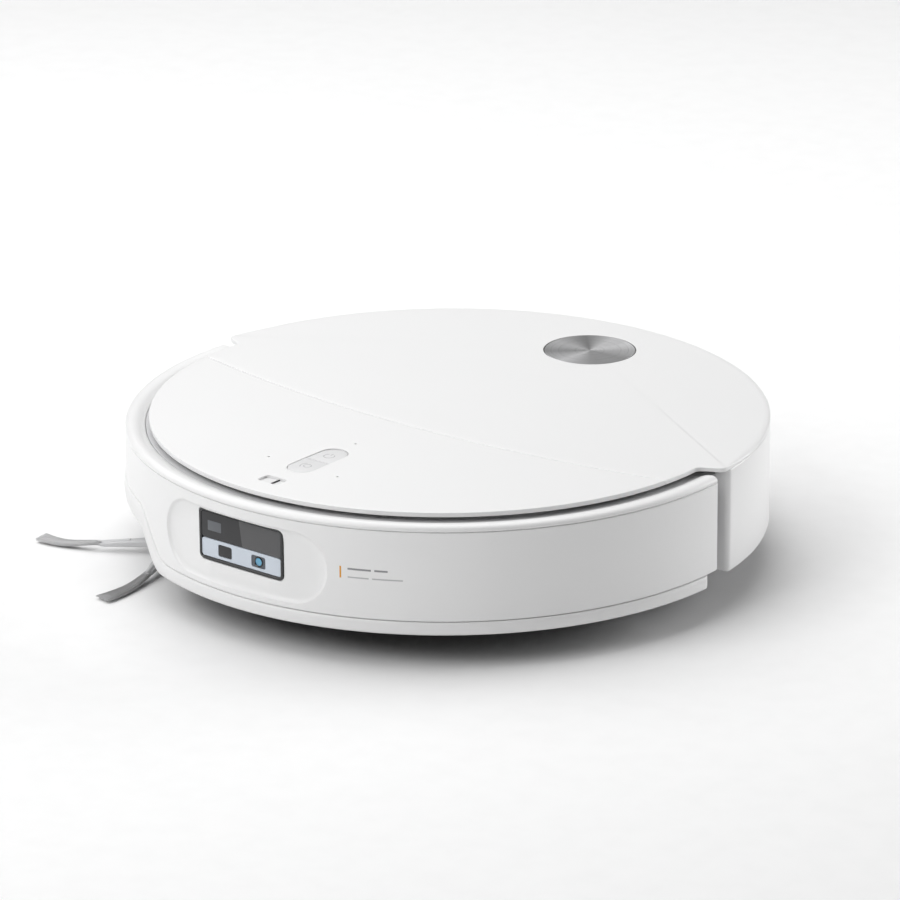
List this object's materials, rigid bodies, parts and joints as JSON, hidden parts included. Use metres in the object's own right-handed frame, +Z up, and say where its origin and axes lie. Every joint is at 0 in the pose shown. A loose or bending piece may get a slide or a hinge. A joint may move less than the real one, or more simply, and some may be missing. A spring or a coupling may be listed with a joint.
{
  "type": "robot vacuum",
  "caption": "Low round floor-cleaning robot with a sprung front bumper, recessed camera module, lift-off lid over a dust bin, driven wheels, a main roller and a corner side brush.",
  "frame": {"origin": "on the floor, under the middle of the round body", "axes": "+Z up, -Y to the front with the bumper, +X to the robot's left; the side brush is at -X, -Y"},
  "size_m": [0.36, 0.3524, 0.082],
  "materials": {
    "shell": "satin white",
    "deck": "satin white",
    "soft_strip": "matte white elastomer",
    "frame_plastic": "matte light grey",
    "base_plastic": "textured dark grey",
    "disc_metal": "radially brushed",
    "steel": "plain",
    "magnet": "nickel plated",
    "black_gloss": "gloss black",
    "dark_window": "infrared-pass acrylic",
    "blue_grey": "silver blue",
    "lens": "coated",
    "key": "satin light grey",
    "light_window": "translucent",
    "pcb": "solder mask",
    "battery": "shrink wrap",
    "motor_metal": "plated",
    "gear_housing": "matte",
    "fan_plastic": "matte",
    "bin_clear": "smoked translucent",
    "bin_lid": "matte",
    "accent": "matte orange",
    "filter": "pleated paper",
    "fin_rubber": "matte",
    "tyre": "matte",
    "wheel_plastic": "matte",
    "arm_plastic": "matte white",
    "bristle": "nylon bristle",
    "speaker_cone": "matte"
  },
  "bodies": {
    "chassis": {"base_plate": "base_plastic", "battery_hatch": "base_plastic", "battery_pack": "battery", "bin_well": "frame_plastic", "brush_bearing": "wheel_plastic", "brush_gearbox": "gear_housing", "brush_housing": "base_plastic", "brush_motor": "motor_metal", "bumper_switches": "gear_housing", "camera_barrel": "black_gloss", "camera_lens": "lens", "case_screws": "steel", "charging_contacts": "steel", "fan_housing": "fan_plastic", "fan_motor": "motor_metal", "front_deck": "deck", "infrared_windows": "dark_window", "inner_frame": "frame_plastic", "left_spring": "steel", "main_board": "pcb", "rear_shell": "shell", "right_spring": "steel", "sensor_bezel": "black_gloss", "sensor_plate": "blue_grey", "side_motor": "motor_metal", "signal_boards": "pcb", "speaker": "speaker_cone", "standoffs": "frame_plastic", "status_window": "light_window", "suction_duct": "base_plastic", "top_plate": "frame_plastic"},
    "bumper": {"bumper_shell": "shell", "bumper_soft_strip": "soft_strip", "bumper_top_ring": "shell"},
    "power_key": {"power_button": "key"},
    "dock_key": {"dock_button": "key"},
    "cover": {"top_cover": "shell", "cover_disc": "disc_metal", "cover_magnets": "magnet"},
    "dust_bin": {"bin_body": "bin_clear", "filter_frame": "wheel_plastic", "filter_pleats": "filter"},
    "dust_bin_lid": {"bin_lid": "bin_lid"},
    "latch": {"bin_latch": "accent"},
    "main_brush": {"brush_core": "gear_housing", "brush_fins": "fin_rubber"},
    "guard": {"brush_guard": "wheel_plastic"},
    "impeller": {"fan_impeller": "fan_plastic"},
    "side_brush": {"side_hub": "arm_plastic", "side_screw": "steel", "side_bristles": "bristle"},
    "left_suspension": {"left_drive_unit": "gear_housing"},
    "left_drive_wheel": {"left_wheel": "wheel_plastic", "left_tyre": "tyre"},
    "right_suspension": {"right_drive_unit": "gear_housing"},
    "right_drive_wheel": {"right_wheel": "wheel_plastic", "right_tyre": "tyre"},
    "caster_swivel": {"caster_fork": "wheel_plastic", "caster_axle": "steel"},
    "caster_roller": {"caster_wheel": "tyre"}
  },
  "joints": [
    {"name": "bumper_slide", "type": "slide", "parent": "chassis", "child": "bumper", "axis": [0, 1, 0], "range_m": [0, 0.0035], "stiffness_N_per_m": 400, "springref_m": -0.004},
    {"name": "power_press", "type": "slide", "parent": "chassis", "child": "power_key", "axis": [0, 0, -1], "range_m": [0, 0.0006], "stiffness_N_per_m": 900, "springref_m": -0.0008},
    {"name": "dock_press", "type": "slide", "parent": "chassis", "child": "dock_key", "axis": [0, 0, -1], "range_m": [0, 0.0006], "stiffness_N_per_m": 900, "springref_m": -0.0008},
    {"name": "cover_lift", "type": "slide", "parent": "chassis", "child": "cover", "axis": [0, 0, 1], "range_m": [0, 0.22]},
    {"name": "bin_lift", "type": "slide", "parent": "chassis", "child": "dust_bin", "axis": [0, 0, 1], "range_m": [0, 0.0801]},
    {"name": "bin_lid_open", "type": "hinge", "parent": "dust_bin", "child": "dust_bin_lid", "pos_m": [0, 0.12975, 0.07025], "axis": [-1, 0, 0], "range_deg": [0, 80.5]},
    {"name": "latch_slide", "type": "slide", "parent": "dust_bin_lid", "child": "latch", "axis": [0, 1, 0], "range_m": [0, 0.002], "stiffness_N_per_m": 300, "springref_m": -0.001},
    {"name": "main_brush_spin", "type": "hinge", "parent": "chassis", "child": "main_brush", "pos_m": [0, 0.01, 0.0235], "axis": [1, 0, 0], "continuous": true},
    {"name": "guard_pull", "type": "slide", "parent": "chassis", "child": "guard", "axis": [0, 0, -1], "range_m": [0, 0.03]},
    {"name": "impeller_spin", "type": "hinge", "parent": "chassis", "child": "impeller", "pos_m": [0.072, 0.086, 0.045], "axis": [0, 0, 1], "continuous": true},
    {"name": "side_brush_spin", "type": "hinge", "parent": "chassis", "child": "side_brush", "pos_m": [-0.109, -0.099, 0.0065], "axis": [0, 0, 1], "continuous": true},
    {"name": "left_suspension_drop", "type": "hinge", "parent": "chassis", "child": "left_suspension", "pos_m": [0, -0.052, 0.044], "axis": [-1, 0, 0], "range_deg": [0, 22], "stiffness_Nm_per_rad": 0.3, "springref_deg": 34.38, "deforming": ["left_spring"]},
    {"name": "right_suspension_drop", "type": "hinge", "parent": "chassis", "child": "right_suspension", "pos_m": [0, -0.052, 0.044], "axis": [-1, 0, 0], "range_deg": [0, 22], "stiffness_Nm_per_rad": 0.3, "springref_deg": 34.38, "deforming": ["right_spring"]},
    {"name": "left_wheel_spin", "type": "hinge", "parent": "left_suspension", "child": "left_drive_wheel", "pos_m": [0.118, 0, 0.035], "axis": [1, 0, 0], "continuous": true},
    {"name": "right_wheel_spin", "type": "hinge", "parent": "right_suspension", "child": "right_drive_wheel", "pos_m": [-0.118, 0, 0.035], "axis": [1, 0, 0], "continuous": true},
    {"name": "caster_swivel_turn", "type": "hinge", "parent": "chassis", "child": "caster_swivel", "pos_m": [0, -0.128, 0.036], "axis": [0, 0, 1], "continuous": true},
    {"name": "caster_roll", "type": "hinge", "parent": "caster_swivel", "child": "caster_roller", "pos_m": [0, -0.123, 0.013], "axis": [1, 0, 0], "continuous": true}
  ],
  "couplings": [
    {"joint": "bin_lift", "follows": "cover_lift", "ratio": 0.364},
    {"joint": "bin_lid_open", "follows": "cover_lift", "rad_per_m": 6.38}
  ]
}
